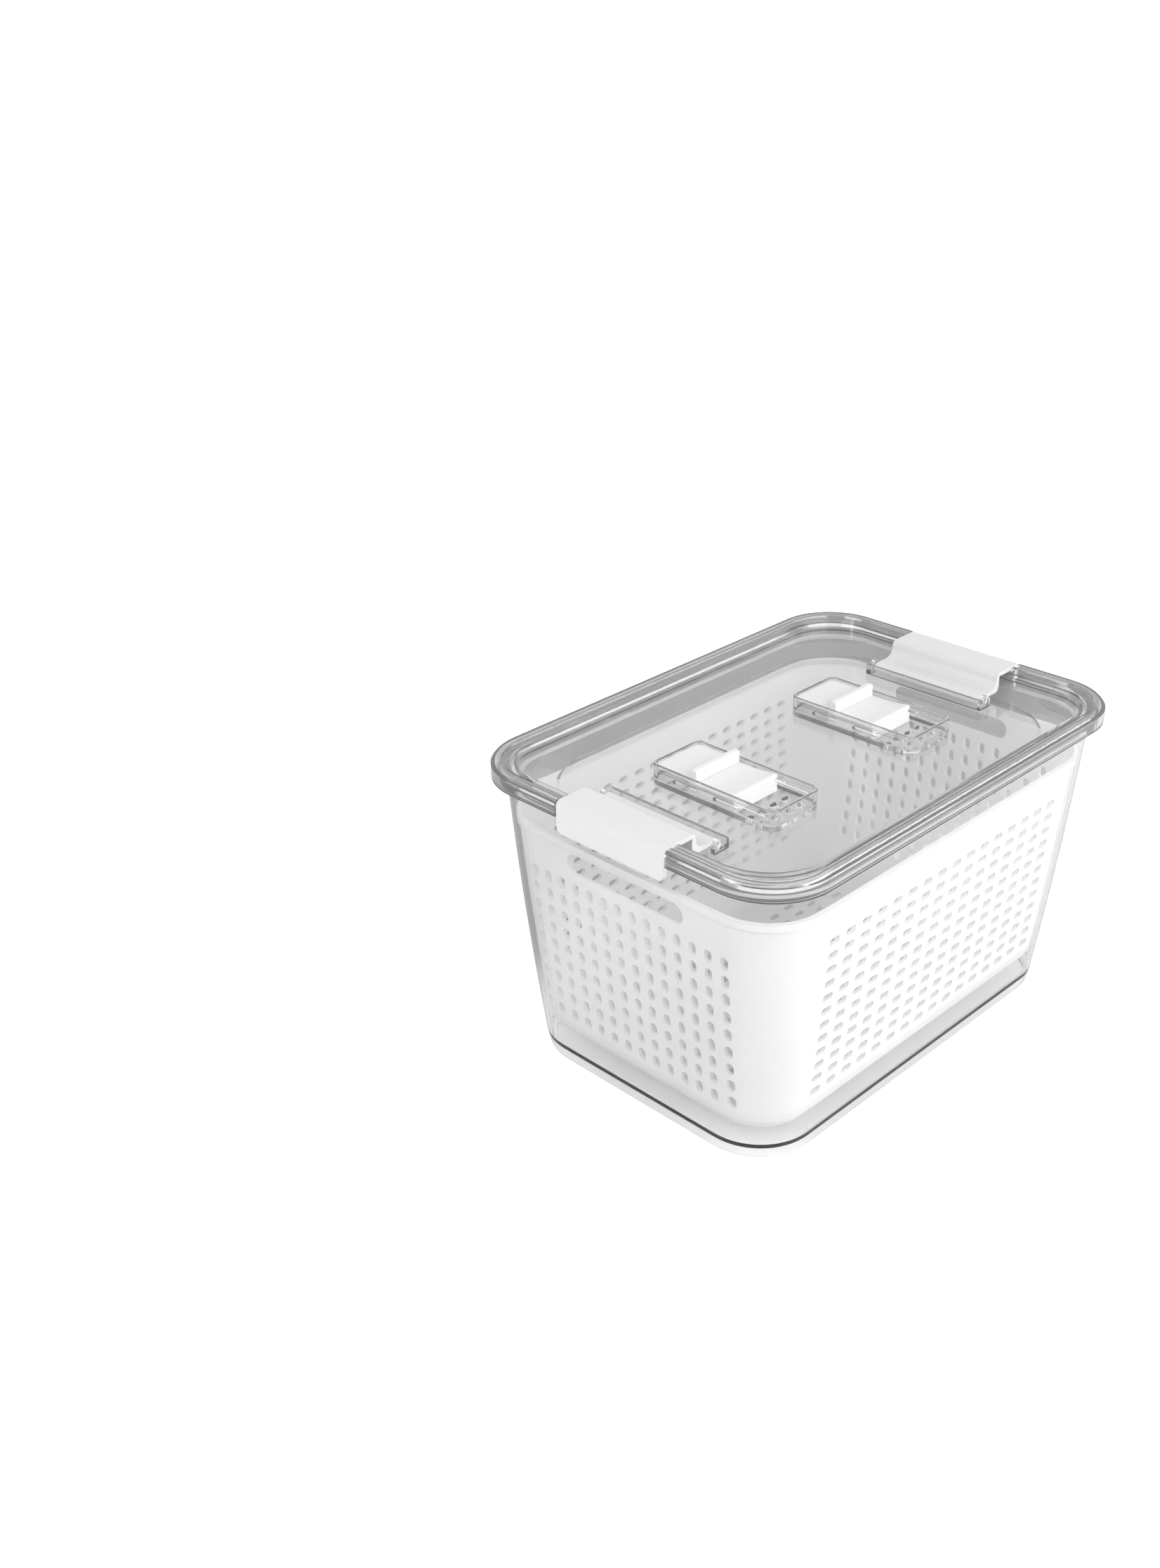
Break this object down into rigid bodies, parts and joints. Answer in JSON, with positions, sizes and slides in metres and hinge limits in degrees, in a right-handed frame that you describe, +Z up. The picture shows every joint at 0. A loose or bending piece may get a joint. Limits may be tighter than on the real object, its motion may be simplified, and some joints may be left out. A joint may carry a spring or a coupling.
{
  "type": "fridge produce storage bin",
  "caption": "Clear rounded fridge bin with a white perforated lift-out drain basket, clear vented lid, end clips that hinge over the rim and sliding vent shutters.",
  "frame": {"origin": "centre of the foot, on the shelf surface", "axes": "+X along the long side, +Y across the bin towards the rear, +Z up; the clips are at the two X ends and the vent holes are at the -Y end of each vent"},
  "size_m": [0.25, 0.177, 0.1463],
  "materials": {
    "clear_container": "clear polished, water-white",
    "white_basket": "white, soft satin",
    "clear_lid": "clear polished, faint grey",
    "silicone": "translucent matte silicone",
    "white_clip": "white, semi-gloss",
    "white_slider": "white, semi-gloss"
  },
  "bodies": {
    "container": {"container": "clear_container"},
    "basket": {"basket": "white_basket"},
    "lid": {"lid": "clear_lid", "gasket": "silicone"},
    "clip_left": {"clip_left": "white_clip"},
    "clip_right": {"clip_right": "white_clip"},
    "vent_slider_left": {"vent_slider_left": "white_slider"},
    "vent_slider_right": {"vent_slider_right": "white_slider"}
  },
  "joints": [
    {"name": "lid_lift", "type": "slide", "parent": "container", "child": "lid", "axis": [0, 0, 1], "range_m": [0, 0.26]},
    {"name": "basket_lift", "type": "slide", "parent": "container", "child": "basket", "axis": [0, 0, 1], "range_m": [0, 0.13]},
    {"name": "clip_left_hinge", "type": "hinge", "parent": "lid", "child": "clip_left", "pos_m": [-0.0945, 0, 0.1364], "axis": [0, 1, 0], "range_deg": [0, 110]},
    {"name": "clip_right_hinge", "type": "hinge", "parent": "lid", "child": "clip_right", "pos_m": [0.0945, 0, 0.1364], "axis": [0, -1, 0], "range_deg": [0, 110]},
    {"name": "vent_slide_left", "type": "slide", "parent": "lid", "child": "vent_slider_left", "axis": [0, 1, 0], "range_m": [-0.018, 0]},
    {"name": "vent_slide_right", "type": "slide", "parent": "lid", "child": "vent_slider_right", "axis": [0, 1, 0], "range_m": [-0.018, 0]}
  ],
  "couplings": [
    {"joint": "basket_lift", "follows": "lid_lift", "ratio": 0.5}
  ]
}
